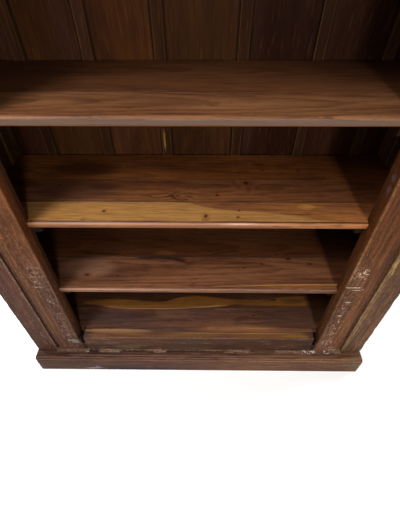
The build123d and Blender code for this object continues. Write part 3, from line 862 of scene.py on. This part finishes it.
# A small open flower: petals round a button.
def flower(x, y, size, petals):
    reach, angle = math.hypot(x, y), math.atan2(y, x)
    rim = size * (0.72 + 0.28 * abs(math.cos(petals * angle / 2)))
    button = bump(reach, size * 0.28)
    ring = bump(reach - rim * 0.62, rim * 0.42) if reach > size * 0.3 else 0
    return max(button, ring if reach < rim else 0)


def leaf(x, y, turn, length, width):
    along = x * math.cos(turn) + y * math.sin(turn)
    side = -x * math.sin(turn) + y * math.cos(turn)
    share = (along / length) ** 2 + (side / width) ** 2
    vein = 0.35 * bump(abs(side), width * 0.25)
    return max(0.0, (1 - share)) ** 0.5 - vein if share < 1 else 0.0


# Height of the vine, from 0 at the ground to 1, at a point measured in millimetres from
# the middle of the band and along it.
def vine(x, y):
    turn = 2 * math.pi * (y - carving["crest"]) / carving["wave"]
    sway = carving["sway"] * math.sin(turn)
    slope = carving["sway"] * 2 * math.pi / carving["wave"] * math.cos(turn)
    height = bump(abs(x - sway) / math.hypot(1, slope), carving["stem"])
    half = carving["wave"] / 2
    number = math.floor((y - carving["crest"]) / half)
    middle = carving["crest"] + (number + 0.5) * half
    side = 1 if number % 2 == 0 else -1
    height = max(height, flower(x + side * 5, y - middle, carving["flower"], 6))
    for offset, lean in ((-30, 0.7), (30, -0.7)):
        height = max(height, leaf(x - side * 12, y - middle - offset, math.pi / 2 + side * lean,
                                  *carving["leaf"]))
        height = max(height, leaf(x + side * 13, y - middle - offset * 1.15,
                                  math.pi / 2 - side * lean, 9, 4))
    return height


# Depth of the carving on a jamb's band, in millimetres, at a place across it and up it.
def jambCarving(x, z, lobes):
    side = abs(x) - (openingHalf + bandWidth / 2)
    x = side / mm
    up = z / mm
    inside = bandWidth / 2 / mm - carving["border"]
    edge = min(1, max(0, (inside - abs(x)) / 1.5))
    depth = 0.0
    low, high = carving["vine"]
    if low < up < high:
        ends = min(1, (up - low) / 2, (high - up) / 2)
        depth = carving["depth"] * (1 - vine(x, up)) * edge * ends
    low, high = carving["zigzag"]
    if low < up < high:
        ends = min(1, (up - low) / 2, (high - up) / 2)
        fold = abs(((up + abs(x) * 0.9) / 13) % 1 - 0.5) * 2
        depth = carving["depth"] * 0.85 * fold * edge * ends
    for low, high in carving["bars"]:
        for groove in (low - 2, high + 2):
            depth = max(depth, 1.8 * bump(abs(up - groove), 2.2))
    y = up - carving["motif"]
    reach = math.hypot(x, y)
    size = carving["motifSize"]
    if reach < size:
        ground = 1.7 * min(1, (size - reach) / 7)
        if lobes == 3:
            raised = max(leaf(x, y - 3, math.pi / 2, 19, 6),
                         leaf(x - 9, y + 3, math.pi / 2 - 0.85, 16, 5),
                         leaf(x + 9, y + 3, math.pi / 2 + 0.85, 16, 5),
                         bump(math.hypot(x, y + 15), 4))
        else:
            raised = flower(x, y, size * 0.9, lobes)
        depth = max(depth, ground * (1 - raised))
    if up < 182:
        for groove in (150, 163, 180):
            depth = max(depth, 2.2 * bump(abs(up - groove), 3))
    return depth


# Whether a place on a jamb's band is in its carved part.
def carved(x, z):
    inside = abs(abs(x) - openingHalf - bandWidth / 2) < bandWidth / 2 - carving["border"] * mm
    spans = (carving["vine"], carving["zigzag"],
             (carving["motif"] - carving["motifSize"], carving["motif"] + carving["motifSize"]))
    return inside and any(low < z / mm < high for low, high in spans)


doorLook = {"light": tone(110, 74, 50), "dark": tone(76, 48, 33), "late": tone(46, 29, 20),
            "patch": tone(92, 66, 55), "patchShare": 0.5, "sapDark": tone(132, 96, 64), "ring": 8,
            "dust": 0.06, "rough": 0.7, "gloss": 0.12, "bump": 0.6, "depth": 0.9, "edgeShare": 0}


# Smears and a fine stipple of dirt and bare wood, dirt in the hollows, and pale wear on
# crests and arrises.
def weather(finish, dirt=0.5, bare=0.7, stipple=0.35):
    relief, worn, crest = [finish.node("Attribute", {"attribute_name": name}, output=2)
                           for name in ("relief", "worn", "crest")]
    smears = finish.fibre(16, 90, 4, 0.7, turn=73)
    specks = finish.fibre(105, 185, 4, 0.75, turn=61)
    clouds = finish.fibre(4, 14, 3, 0.55, turn=67)
    patchy = finish.ease(specks, 0.46, 0.6)
    finish.paint(finish.ease(smears, 0.46, 0.34) * 0.4, tone(50, 31, 21))
    finish.paint(finish.ease(smears, 0.55, 0.68) * 0.35, tone(140, 104, 74))
    finish.paint(finish.ease(specks, 0.47, 0.36) * stipple, tone(42, 26, 18))
    pale = finish.ease(specks, 0.53, 0.64) * (0.35 + finish.ease(clouds, 0.42, 0.62) * 0.65)
    finish.paint(pale * stipple, tone(154, 122, 102))
    finish.paint(finish.ease(relief, 0.15, 0.9) * dirt, tone(44, 28, 20))
    finish.paint(finish.ease(crest, 0.2, 0.9) * (0.1 + patchy * 0.6), tone(160, 130, 112))
    finish.paint(finish.ease(worn, 0.2, 0.9) * (0.12 + patchy) * bare, tone(162, 136, 110))
    return finish


# Weathered teak for the worn copy of a node.
def weathered(node, look, **shares):
    return weather(teak(node, "_weathered", **look), **shares)


# A line on both jambs, at a distance from the middle of the doorway. Pale lines are wear along
# the arrises and a painted highlight along the bead; dark lines are painted shade, with dirt,
# in the grooves and creases: (distance, half width, lowest, highest, colour, share).
def jambLines(finish, lines):
    reach = finish.xyz[0].size()
    flecked = finish.ease(finish.fibre(80, 150, 3, 0.7, turn=79), 0.4, 0.6)
    for distance, wide, low, high, shade, share in lines:
        mask = finish.ease((reach - distance * mm).size(), wide * mm, wide * 0.3 * mm)
        mask = mask * finish.past("z", (low - 40) * mm, (low + 60) * mm)
        mask = mask * finish.past("z", (high + 60) * mm, (high - 60) * mm)
        if shade is not shadeAndDirtLine:
            mask = mask * finish.past("y", frontY + 5 * mm, frontY + 1 * mm)
        finish.paint(mask * (flecked * 0.75 + 0.25) * share, shade)
    return finish


# Line colours: painted shade with dirt, wear and painted highlight, and gold.
shadeAndDirtLine, wearAndHighlightLine, goldLine = tone(40, 25, 17), tone(178, 150, 116), tone(146, 120, 80)
lineSpots = {
    "left": [(603, 7, 90, 1900, shadeAndDirtLine, 0.7), (560, 2, 90, 1900, shadeAndDirtLine, 0.45),
             (585, 4, 90, 1900, shadeAndDirtLine, 0.3), (575, 4, 90, 1900, wearAndHighlightLine, 0.15),
             (504, 4, 420, 1150, wearAndHighlightLine, 0.12)],
    "right": [(603, 7, 90, 1900, shadeAndDirtLine, 0.75), (560, 2, 90, 1900, shadeAndDirtLine, 0.45),
              (586, 4, 90, 1900, shadeAndDirtLine, 0.35),
              (573, 3, 120, 1700, wearAndHighlightLine, 0.15), (504.5, 4.5, 560, 1050, wearAndHighlightLine, 0.42)],
}
doorTints = {
    "left": {"low": (0.8, 0.76, 0.78), "high": (0.92, 0.79, 0.59)},
    "right": {"low": (1.1, 1.02, 0.88), "high": (0.68, 0.53, 0.36)},
}
# Reveal tints: partly their warmer colour, partly painted light and shade, by side and height.
revealShading = {
    "left": {"low": (0.86, 0.74, 0.53), "high": (1.06, 0.9, 0.64)},
    "right": {"low": (0.74, 0.63, 0.45), "high": (0.86, 0.74, 0.53)},
}
bandTints = {
    "left": {"low": (0.98, 1, 1.12), "high": (1, 1, 1)},
    "right": {"low": (1.03, 1.02, 1.04), "high": (0.88, 0.88, 0.8)},
}
beadTints = {"left": (1, 1, 1), "right": (0.84, 0.82, 0.8)}


# White and grey paint that is left in a few places on the front plane, or on a reveal:
# (x or y, z, half width, half height).
def oldPaint(finish, spots, shade, share=0.9, axis=0):
    flat = finish.node("CombineXYZ", None, {0: finish.xyz[axis], 1: finish.xyz[2]})
    crumbs = finish.grit(260, 3, 0.7)
    plane = finish.ease(finish.xyz[0].size(), 0.503, 0.5008) if axis else 1
    for place, z, wide, high in spots:
        reach = finish.ellipse(flat, place, z, wide, high) + (crumbs - 0.5) * 3.4
        mask = finish.ease(reach, 1.05, 0.75) * plane
        if not axis:
            mask = mask * finish.past("y", frontY + 6 * mm, frontY + 3 * mm)
        finish.paint(mask * share, shade)
    return finish


paintSpots = {
    "left": {"white": [(-550, 533, 26, 1.1), (-531, 452, 8, 1), (-524, 440, 8, 1),
                       (-536, 446, 1.2, 7), (-528, 222, 7, 1), (-534, 214, 1.2, 6),
                       (-543, 566, 9, 1), (-536, 556, 9, 1), (-547, 561, 1.2, 6),
                       (-560, 596, 2, 6), (-556, 588, 5, 1.2)],
             "grey": [(-522, 173, 21, 8), (-516, 160, 16, 5), (-540, 178, 5, 5)],
             "reveal": [], "tone": tone(132, 122, 104)},
    "right": {"white": [(528, 542, 29, 2.4), (545, 528.5, 22, 1.2), (533, 457, 10, 2),
                        (531, 371.5, 9, 2), (537, 622, 2, 9), (547, 612, 8, 1.6),
                        (526, 610, 2, 8), (533, 598, 9, 1.2), (541, 634, 7, 1.2),
                        (529, 420, 7, 1.1), (538, 330, 1.4, 7), (527, 300, 8, 1.1),
                        (541, 246, 7, 1.1), (531, 236, 1.4, 7)],
              "grey": [(572, 112, 24, 9), (600, 104, 10, 6), (560, 132, 14, 6), (518, 172, 6, 18),
                       (534, 160, 4, 16), (551, 178, 4, 12), (530, 186, 16, 3)],
              "reveal": [(-181, 961, 9, 13), (-184, 927, 8, 14), (-176, 1010, 6, 10)],
              "tone": tone(140, 122, 110)},
}

for side, sign, lobes in (("left", -1, 3), ("right", 1, 8)):
    node = f"jamb_{side}"
    bm = copyNode(node)
    sliceThrough(bm, 2, steps(0.105, 0.66, 2.5 * mm) + steps(0.67, openingTop - 0.002, 9 * mm))
    cuts = [0.4935, 0.4955, 0.4985, 0.5015, 0.503] + steps(0.5055, 0.5565, 2 * mm)
    sliceThrough(bm, 0, [sign * x for x in cuts])
    sliceThrough(bm, 1, [frontY + depth * mm for depth in (1.5, 3, 5.5, 9)])
    relief, crest, worn = wearMarks(bm)
    for vert in frontVerts(bm, frontY):
        x, _, z = vert.co
        if abs(x) < bandEdge - 0.5 * mm and z < openingTop:
            erosion = 0.75 + 0.5 * rough((x, z, 3.0), 28)
            depth = jambCarving(x, z, lobes) * min(1.15, max(0.3, erosion))
            grainy = max(0, rough((x * 6, z, 5.0), 26)) * 0.7
            vert.co.y += (depth + grainy) * mm
            vert[relief] = min(1, depth / 2.6)
            if depth < 0.7 and carved(x, z):
                vert[crest] = (1 - depth / 0.7) * (1 if z > 0.56 else 0.7)
    edgeBites = bites(f"jamb {side}", 0.19, openingTop, 60, 28 * mm, 4 * mm)
    wearArris(bm, worn, 2, (sign * openingHalf, frontY), (sign, 1), 4.6 * mm, edgeBites, sign)
    finish = teak(node, "_weathered", **doorLook)
    reach, height = finish.xyz[0].size(), finish.xyz[2]
    inBand = finish.ease(reach, bandEdge + 3 * mm, bandEdge - 3 * mm)
    band = inBand * finish.ease(height, 0.72, 0.62)
    foot = inBand * finish.ease(height, 0.2, 0.15)
    weather(finish, dirt=0.58, stipple=0.36 + band * 0.3 + foot * 0.26)
    jambLines(finish, lineSpots[side])
    finish.tinted(finish.ease(height, 0.4, 0.85), *doorTints[side].values())
    finish.tinted(finish.ease(height, 0.3, 0.15), (1, 1, 1), (0.94, 0.95, 1.08))
    finish.tinted(band, (1.06, 0.94, 0.8), bandTints[side]["low"])
    finish.tinted(inBand * finish.ease(height, 0.62, 0.72), (1, 1, 1), bandTints[side]["high"])
    finish.tinted(finish.within(reach, 0.56, 0.6, 4 * mm), (1, 1, 1), beadTints[side])
    # Painted light and shade, with warmer colour: the reveal gets its own tint.
    reveal = finish.mix(finish.ease(height, 0.4, 0.85), *[(*tint, 1)
                        for tint in revealShading[side].values()])
    finish.colour = finish.mix(finish.ease(reach, openingHalf + 3 * mm, openingHalf + 0.6 * mm),
                               finish.colour, reveal, "MULTIPLY")
    # Painted shade where the jamb meets the slot beside the sill.
    slotShade = (finish.ease(reach, openingHalf - 0.5 * mm, openingHalf - 2.5 * mm)
            * finish.ease(height, 0.158, 0.166))
    finish.paint(slotShade * 0.8, tone(24, 15, 11))
    oldPaint(finish, paintSpots[side]["grey"], paintSpots[side]["tone"], 0.6)
    oldPaint(finish, paintSpots[side]["white"], tone(200, 182, 162),
             0.5 if side == "left" else 0.8)
    oldPaint(finish, paintSpots[side]["reveal"], tone(92, 90, 94), 0.32, axis=1)
    makePiece(bm, f"carved_jamb_{side}", node, finish)

# Lintel: the vine runs along it from both sides to a large flower.
bm = copyNode("lintel")
sliceThrough(bm, 0, steps(-0.61, 0.61, 3.2 * mm))
sliceThrough(bm, 2, steps(openingTop + 0.0055, openingTop + 0.0565, 2.2 * mm))
relief, crest, worn = wearMarks(bm)
for vert in frontVerts(bm, frontY):
    x, _, z = vert.co
    if z < openingTop + bandWidth - 0.5 * mm:
        up = (z - openingTop - bandWidth / 2) / mm
        edge = min(1, max(0, (bandWidth / 2 / mm - carving["border"] - abs(up)) / 1.5))
        raised = flower(x / mm, up, 24, 12)
        if abs(x) > 0.034:
            raised = max(raised, vine(up, abs(x) / mm + 60))
        for middle in (-0.529, 0.529):
            if abs(x - middle) < 0.03:
                raised = flower((x - middle) / mm, up, 21, 8)
        depth = carving["depth"] * (1 - raised) * edge
        vert.co.y += depth * min(1.1, max(0.4, 0.85 + 0.4 * rough((x, z, 8.0), 25))) * mm
        vert[relief] = min(1, depth / 2.6)
        vert[crest] = max(0, 1 - depth / 0.8) * edge * 0.6
wearArris(bm, worn, 0, (frontY, openingTop), (1, 1), 4.2 * mm,
          bites("lintel", -0.6, 0.6, 40, 24 * mm, 3 * mm), 4.0)
makePiece(bm, "carved_lintel", "lintel",
          weathered("lintel", {**doorLook, "axes": "xzy"}))
print("doorway is carved")

# ---- outer stiles, sill, lip and plinth


stileLook = {**doorLook, "light": tone(84, 52, 44), "dark": tone(52, 33, 30), "ring": 10,
             "patch": tone(70, 50, 46), "patchShare": 0.6, "streakShare": 0.55}
stileTones = {"left": {}, "right": {"light": tone(103, 70, 45), "dark": tone(71, 46, 30),
                                    "patch": tone(95, 64, 50)}}
stileLines = {
    "left": [(615, 4, 90, 1500, wearAndHighlightLine, 0.24), (634, 3, 90, 1500, shadeAndDirtLine, 0.35),
             (696, 3, 90, 1900, wearAndHighlightLine, 0.15)],
    "right": [(616, 4, 90, 1900, goldLine, 0.6), (624, 4.5, 100, 760, goldLine, 0.5),
              (696, 3, 90, 1900, wearAndHighlightLine, 0.15)],
}
for side, sign in (("left", -1), ("right", 1)):
    node = f"outer_stile_{side}"
    inner, outer = sorted((abs(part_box(node)[0].x), abs(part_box(node)[1].x)))
    bm = copyNode(node)
    sliceThrough(bm, 2, steps(0.1, 1.9, 7 * mm))
    cuts = [inner + 6 * mm, inner + 11 * mm, outer - 11 * mm, outer - 6 * mm]
    sliceThrough(bm, 0, [sign * x for x in cuts + steps(inner + 0.02, outer - 0.02, 9 * mm)])
    sliceThrough(bm, 1, [frontY + depth * mm for depth in (6, 10)])
    worn = wearMarks(bm)[2]
    for vert in frontVerts(bm, frontY):
        vert.co.y += max(0, rough((vert.co.x * 4, vert.co.z, 2.0), 14)) * 1.2 * mm
    wearArris(bm, worn, 2, (sign * outer, frontY), (-sign, 1), 5 * mm,
              bites(f"stile {side}", 0.1, 1.9, 46, 30 * mm, 3.5 * mm), 7.0 * sign)
    wearArris(bm, worn, 2, (sign * inner, frontY), (sign, 1), 4.4 * mm,
              bites(f"stile inside {side}", 0.1, 1.9, 46, 30 * mm, 2.5 * mm), 9.0 * sign)
    finish = weathered(node, {**stileLook, **stileTones[side]}, stipple=0.36)
    if side == "left":
        finish.tinted(finish.past("z", 0.2, 0.9), (0.92, 0.83, 0.78), (0.96, 0.87, 0.78))
    jambLines(finish, stileLines[side])
    if side == "right":
        oldPaint(finish, [(622, 655, 4, 26), (627, 620, 3, 14)], tone(158, 134, 66), 0.7)
    makePiece(bm, f"worn_stile_{side}", node, finish)

# Sill, with a worn upper arris.
bm = copyNode("sill")
sliceThrough(bm, 0, steps(-0.474, 0.474, 6 * mm))
sliceThrough(bm, 2, [sillTop - depth * mm for depth in (1.5, 3, 4.5, 7, 10)]
             + steps(0.106, sillTop - 0.016, 6 * mm))
sliceThrough(bm, 1, [frontY + depth * mm for depth in (1.5, 3, 4.5, 7, 10, 16, 22, 28)])
relief, _, worn = wearMarks(bm)
for vert in frontVerts(bm, frontY):
    if abs(vert.co.x) < 0.476:
        dent = max(0, rough((vert.co.x, vert.co.z * 3, 6.0), 16)) * 1.6
        vert.co.y += dent * mm
        vert[relief] = min(0.5, dent / 3)
wearArris(bm, worn, 0, (frontY, sillTop), (1, -1), 4.5 * mm,
          bites("sill", -0.47, 0.47, 26, 45 * mm, 3.5 * mm), 12.0)
# Pale broken wood, and painted shade in the gaps along the foot of the sill: (x, share).
footPale = [(-620, 0), (-432, 0), (-412, 1), (-345, 0.9), (-328, 0), (-232, 0), (-218, 0.9),
            (-142, 0.9), (-130, 0), (0, 0), (60, 0.3), (130, 0.4), (146, 1), (214, 0.9), (230, 0),
            (322, 0), (336, 0.8), (430, 0.8), (446, 0.2), (560, 0.3), (580, 0.7), (620, 0.5)]
footShade = [(-620, 0.3), (-490, 0.2), (-478, 1), (-426, 1), (-414, 0), (-336, 0), (-322, 0.75),
            (-232, 0.75), (-222, 0.1), (-138, 0.1), (-128, 0.8), (20, 0.7), (60, 0.3), (140, 0.1),
            (216, 0.1), (230, 0.6), (320, 0.6), (332, 0.1), (436, 0.1), (450, 0.85), (500, 0.5),
            (540, 0.8), (570, 0.2)]


# Splintered pale wood along the foot, below a height.
def splinter(finish, height):
    across = finish.ease(finish.fibre(70, 260, 3, 0.65, turn=83), 0.38, 0.62)
    upTo = finish.ease(finish.xyz[2] + across * (5 * mm), height + 3 * mm, height - 3 * mm)
    share = finish.shares(footPale)
    pale = finish.mix(across, tone(104, 78, 66), tone(152, 124, 108))
    finish.paint(share * upTo * (0.15 + across * 0.45), pale)


# Sapwood on the sill's upper face: (x, y, half width, half depth, colour, share).
sillTopMarks = [
    (-335, -174, 150, 8, tone(152, 112, 76), 0.85), (-290, -188, 85, 5, tone(128, 88, 44), 0.75),
    (-420, -192, 50, 8, tone(128, 82, 54), 0.6), (-20, -190, 130, 9, tone(114, 78, 48), 0.6),
    (290, -190, 190, 11, tone(114, 72, 35), 0.85), (400, -193, 60, 7, tone(136, 94, 38), 0.75),
    (150, -181, 320, 2.2, tone(168, 122, 76), 0.75), (230, -174, 220, 5, tone(118, 76, 46), 0.6),
]
sillLook = {**doorLook, "axes": "xzy", "light": tone(76, 48, 34), "dark": tone(50, 31, 22),
            "patch": tone(66, 48, 40),
            "blots": [(-40, 165, 70, 22, tone(62, 54, 42), 0.75),
                      (-300, 125, 75, 18, tone(84, 68, 48), 0.7),
                      (-365, 160, 40, 16, tone(92, 62, 56), 0.6),
                      (100, 172, 60, 22, tone(72, 46, 44), 0.6),
                      (290, 150, 170, 40, tone(76, 46, 32), 0.5),
                      (-20, 118, 110, 12, tone(80, 66, 60), 0.5)]}
finish = weathered("sill", sillLook, bare=0.15, stipple=0.17)
splinter(finish, 0.109)
flat = finish.node("CombineXYZ", None, {0: finish.xyz[0], 1: finish.xyz[1]})
top = finish.past("z", sillTop - 6 * mm, sillTop - 1.5 * mm)
golden = finish.ease(finish.fibre(4, 130, 2, 0.6, turn=71), 0.4, 0.6)
finish.paint(top * finish.ease(finish.xyz[0].size(), 0.46, 0.42) * (0.35 + golden * 0.3),
             tone(112, 74, 50))
for x, y, wide, high, shade, share in sillTopMarks:
    spot = finish.ease(finish.ellipse(flat, x, y, wide, high), 1.15, 0.65)
    finish.paint(spot * top * (0.65 + golden * 0.35) * share, shade)
# Painted shade in the slots at the ends of the sill.
slotShade = finish.ease(finish.xyz[0].size(), 0.4745, 0.4765)
finish.paint(slotShade * 0.8, tone(24, 15, 11))
face = finish.past("z", sillTop - 2 * mm, sillTop - 8 * mm) * finish.past("x", -0.3, 0.1)
finish.tinted(face, (1, 1, 1), (0.79, 0.71, 0.65))
makePiece(bm, "worn_sill", "sill", finish)

# Thin lip, broken back in several places.
lip = {"gaps": [(-472, -428, 14), (-342, -188, 12), (-141, 113, 13), (150, 203, 8),
                (333, 428, 7), (566, 590, 9)], "limit": 20}
lipFront = boxOf("sill_lip")[0][1]
bm = copyNode("sill_lip")
sliceThrough(bm, 0, steps(-0.609, 0.609, 3 * mm))
sliceThrough(bm, 1, [lipFront + depth * mm for depth in (3, 5, 8, 12, 16, 20)])
sliceThrough(bm, 2, [0.0975, 0.1005])
worn = wearMarks(bm)[2]
for vert in bm.verts:
    depth = (vert.co.y - lipFront) / mm
    if depth < lip["limit"]:
        where = vert.co.x / mm
        broken = 1.2 + 1.6 * rough((vert.co.x, 0, 1.0), 60)
        for start, end, deep in lip["gaps"]:
            share = min((where - start) / 5, (end - where) / 7, 1)
            if share > 0:
                broken = max(broken, deep * share * (0.9 + 0.5 * rough((vert.co.x, 1, 2.0), 90)))
        broken = min(lip["limit"] - 3, max(0, broken))
        slant = 1 + 0.25 * rough((vert.co.x, vert.co.z * 5, 4.0), 120)
        vert.co.y = lipFront + (broken * slant + depth * (1 - broken / lip["limit"])) * mm
        vert[worn] = min(1, broken / 8) if depth < 2 else 0
        if depth < 6 and vert.co.z > 0.102:
            vert.co.z -= max(0, rough((vert.co.x, 3, 5.0), 70)) * 2.2 * mm
finish = weathered("sill_lip", {**doorLook, "axes": "xyz", "light": tone(98, 70, 52)}, bare=0.3)
splinter(finish, 0.12)
# Painted shade in the gaps where the lip is broken back, most on its lower front.
share = finish.shares(footShade)
gapShade = finish.past("z", 0.102, 0.098)
finish.paint(share * (gapShade * 0.6 + 0.15), tone(38, 21, 16))
crumbs = finish.grit(120, 3, 0.7)
for start, end, most in ((0.442, 0.5, 0.9), (0.536, 0.566, 0.95), (-0.486, -0.474, 0.8)):
    window = finish.within(finish.along, start - 3 * mm, end + 3 * mm, 6 * mm)
    finish.paint(finish.ease(crumbs, 0.5, 0.58) * window * most, tone(200, 186, 170))
makePiece(bm, "chipped_lip", "sill_lip", finish)

# Front beam of the plinth.
plinthLow, plinthHigh = boxOf("plinth_front")
bm = copyNode("plinth_front")
sliceThrough(bm, 0, steps(-0.69, 0.69, 8 * mm))
sliceThrough(bm, 2, [0.004, 0.008, 0.078, 0.082] + steps(0.016, 0.072, 8 * mm))
sliceThrough(bm, 1, [plinthLow[1] + depth * mm for depth in (4, 12, 18)])
worn = wearMarks(bm)[2]
for vert in frontVerts(bm, plinthLow[1]):
    if vert.co.z > 0.002:
        vert.co.y += max(0, rough((vert.co.x, vert.co.z * 3, 9.0), 12)) * 1.4 * mm
for edge, inward in (((plinthLow[1], 0.085), (1, -1)), ((plinthLow[1] + 9 * mm, 0.094), (1, -1))):
    wearArris(bm, worn, 0, edge, inward, 2.5 * mm,
              bites(f"plinth {edge[1]}", -0.69, 0.69, 30, 40 * mm, 3 * mm), edge[1] * 50)
for sign in (-1, 1):
    wearArris(bm, worn, 2, (sign * plinthHigh[0], plinthLow[1]), (-sign, 1), 3 * mm,
              bites(f"plinth corner {sign}", 0, 0.09, 4, 12 * mm, 3 * mm), sign)
plinthLook = {**doorLook, "axes": "xzy", "light": tone(112, 80, 62), "dark": tone(78, 53, 42),
              "patch": tone(90, 64, 56), "rough": 0.62,
              # Painted highlight: pale lines along the bevelled top arris.
              "lines": [(0.0862, 1.8, tone(160, 126, 106), 0.45),
                        (0.0928, 1.5, tone(160, 126, 106), 0.35)],
              "blots": [(-270, 12, 210, 13, tone(34, 30, 50), 0.9),
                        (-390, 30, 80, 8, tone(56, 40, 40), 0.7),
                        (-190, 32, 24, 18, tone(62, 42, 36), 0.5),
                        (670, 50, 24, 60, tone(84, 80, 66), 0.45)]}
finish = weathered("plinth_front", plinthLook, bare=0.3, stipple=0.14)
finish.tinted(finish.past("x", -0.3, 0.65), (0.6, 0.5, 0.47), (1.16, 1.0, 0.74))
# Painted shade on the plinth top in front of the gaps in the lip.
share = finish.shares(footShade)
top = finish.past("z", 0.092, 0.0935)
finish.tinted(top, (1, 1, 1), (0.88, 0.86, 0.86))
gapShade = top * finish.past("y", -0.2165, -0.2115)
finish.paint(share * gapShade * 0.8, tone(34, 19, 15))
thin = (top * finish.ease((finish.xyz[1] + 0.2305).size(), 0.003, 0.001)
        * finish.ease(finish.xyz[0].size(), 0.6, 0.5))
finish.paint(thin * finish.streaks * 0.8, tone(150, 116, 104))
oldPaint(finish, [(-470, 14, 26, 4), (-440, 17, 22, 3), (-444, 28, 12, 2)],
         tone(156, 158, 176), 0.7)
makePiece(bm, "worn_plinth_front", "plinth_front", finish)

for name, axes in (("stop_strip_left", "zxy"), ("stop_strip_right", "zxy"),
                   ("frieze_board", "xzy"), ("cornice", "xzy")):
    look = {**doorLook, "axes": axes, "edgeShare": 0.45}
    if name.startswith("stop"):
        look.update(light=tone(72, 38, 12), dark=tone(50, 26, 8), rough=0.6, gloss=0.05,
                    dust=0, edgeShare=0)
    dressTeak(name, **look)
print("doorway, sill and plinth are worn")
